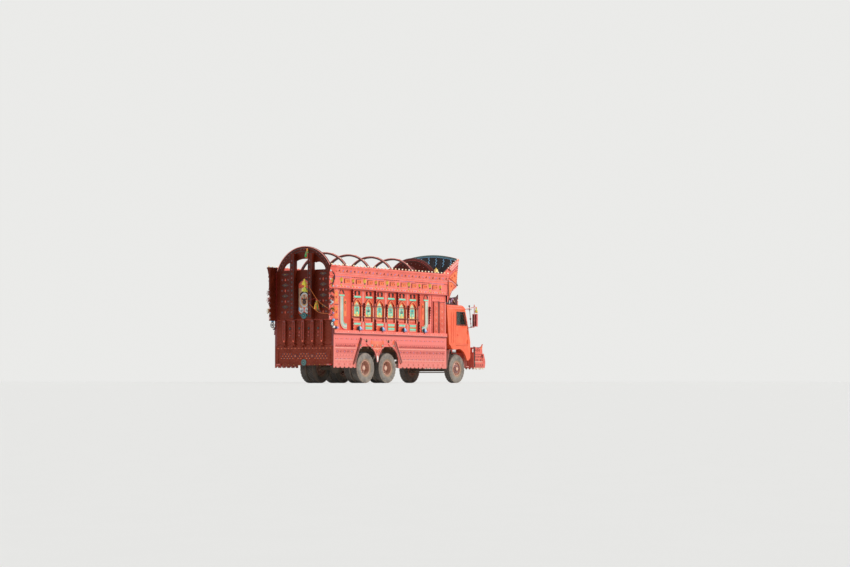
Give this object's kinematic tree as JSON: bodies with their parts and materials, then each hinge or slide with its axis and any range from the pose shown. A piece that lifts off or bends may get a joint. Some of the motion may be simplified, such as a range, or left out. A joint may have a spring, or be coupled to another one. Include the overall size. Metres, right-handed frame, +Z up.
{
  "type": "decorated cargo lorry",
  "caption": "Painted three-axle cargo lorry with carved high sides, an overhanging crown, roof hoops, an arched rear gable and a dropping tailgate.",
  "frame": {"origin": "on the floor under the middle of the overall length, on the centreline", "axes": "+X forward, +Y to the lorry's left, +Z up"},
  "size_m": [10.03, 3.12, 4.76],
  "materials": {
    "body_paint": "weathered salmon red paint",
    "rear_paint": "dark maroon paint",
    "fence_paint": "dark maroon paint",
    "hoop_paint": "dark red paint",
    "cab_paint": "orange paint",
    "bumper_paint": "coral red paint",
    "frame_paint": "dusty black paint",
    "spring_steel": "dull oiled steel",
    "engine_iron": "rough casting",
    "exhaust_steel": "heat-stained steel",
    "tank_paint": "dusty red paint",
    "deck_timber": "worn planks",
    "glass": "clear glass",
    "cab_trim": "matte",
    "seat_cloth": "woven cover",
    "grille_metal": "pale grey paint",
    "lamp_glass": "ribbed lens",
    "tail_lens": "moulded lens",
    "mirror_paint": "pink red paint",
    "guard_paint": "pale pink paint",
    "tyre": "dusty tread",
    "rim_paint": "cream pink paint"
  },
  "bodies": {
    "truck": {"bumper": "bumper_paint", "cab_shell": "cab_paint", "chassis_frame": "frame_paint", "corner_wings": "rear_paint", "crown": "body_paint", "dashboard": "cab_trim", "engine": "engine_iron", "exhaust": "exhaust_steel", "front_axle": "frame_paint", "fuel_tank": "tank_paint", "grille": "grille_metal", "headboard": "rear_paint", "headlamps": "lamp_glass", "leaf_springs": "spring_steel", "load_floor": "deck_timber", "mirrors": "mirror_paint", "mudguards": "guard_paint", "propshafts": "frame_paint", "rear_axles": "frame_paint", "rear_skirt": "rear_paint", "rear_wall": "rear_paint", "roof_fence": "fence_paint", "roof_hoops": "hoop_paint", "seats": "seat_cloth", "side_wall_left": "body_paint", "side_wall_right": "body_paint", "skirt_left": "body_paint", "skirt_right": "body_paint", "steering_wheel": "cab_trim", "tail_lamps": "tail_lens", "windscreen": "glass"},
    "knuckle_left_body": {"knuckle_left": "frame_paint"},
    "front_wheel_left": {"front_tyre_left": "tyre", "front_rim_left": "rim_paint"},
    "door_left_body": {"door_left": "cab_paint", "door_glass_left": "glass"},
    "knuckle_right_body": {"knuckle_right": "frame_paint"},
    "front_wheel_right": {"front_tyre_right": "tyre", "front_rim_right": "rim_paint"},
    "door_right_body": {"door_right": "cab_paint", "door_glass_right": "glass"},
    "tie_rod_body": {"tie_rod": "frame_paint"},
    "tailgate_body": {"tailgate": "rear_paint"},
    "mid_wheels_left": {"mid_tyres_left": "tyre", "mid_rims_left": "rim_paint"},
    "mid_wheels_right": {"mid_tyres_right": "tyre", "mid_rims_right": "rim_paint"},
    "rear_wheels_left": {"rear_tyres_left": "tyre", "rear_rims_left": "rim_paint"},
    "rear_wheels_right": {"rear_tyres_right": "tyre", "rear_rims_right": "rim_paint"}
  },
  "joints": [
    {"name": "steer_left", "type": "hinge", "parent": "truck", "child": "knuckle_left_body", "pos_m": [3.155, 0.86, 0.52], "axis": [0, 0, 1], "range_deg": [-35, 35]},
    {"name": "front_roll_left", "type": "hinge", "parent": "knuckle_left_body", "child": "front_wheel_left", "pos_m": [3.155, 1, 0.52], "axis": [0, 1, 0], "continuous": true},
    {"name": "door_left_swing", "type": "hinge", "parent": "truck", "child": "door_left_body", "pos_m": [3.77, 1.215, 1.7], "axis": [0, 0, -1], "range_deg": [0, 65]},
    {"name": "mid_roll_left", "type": "hinge", "parent": "truck", "child": "mid_wheels_left", "pos_m": [-1.485, 0.945, 0.52], "axis": [0, 1, 0], "continuous": true},
    {"name": "rear_roll_left", "type": "hinge", "parent": "truck", "child": "rear_wheels_left", "pos_m": [-2.805, 0.945, 0.52], "axis": [0, 1, 0], "continuous": true},
    {"name": "steer_right", "type": "hinge", "parent": "truck", "child": "knuckle_right_body", "pos_m": [3.155, -0.86, 0.52], "axis": [0, 0, 1], "range_deg": [-35, 35]},
    {"name": "front_roll_right", "type": "hinge", "parent": "knuckle_right_body", "child": "front_wheel_right", "pos_m": [3.155, -1, 0.52], "axis": [0, 1, 0], "continuous": true},
    {"name": "door_right_swing", "type": "hinge", "parent": "truck", "child": "door_right_body", "pos_m": [3.77, -1.215, 1.7], "axis": [0, 0, 1], "range_deg": [0, 65]},
    {"name": "mid_roll_right", "type": "hinge", "parent": "truck", "child": "mid_wheels_right", "pos_m": [-1.485, -0.945, 0.52], "axis": [0, 1, 0], "continuous": true},
    {"name": "rear_roll_right", "type": "hinge", "parent": "truck", "child": "rear_wheels_right", "pos_m": [-2.805, -0.945, 0.52], "axis": [0, 1, 0], "continuous": true},
    {"name": "tie_rod_swing", "type": "hinge", "parent": "knuckle_left_body", "child": "tie_rod_body", "pos_m": [2.955, 0.86, 0.4], "axis": [0, 0, 1], "range_deg": [-35, 35]},
    {"name": "tailgate_drop", "type": "hinge", "parent": "truck", "child": "tailgate_body", "pos_m": [-4.745, 0, 1.3], "axis": [0, -1, 0], "range_deg": [0, 90]}
  ],
  "couplings": [
    {"joint": "steer_right", "follows": "steer_left", "ratio": 1},
    {"joint": "tie_rod_swing", "follows": "steer_left", "ratio": -1}
  ]
}
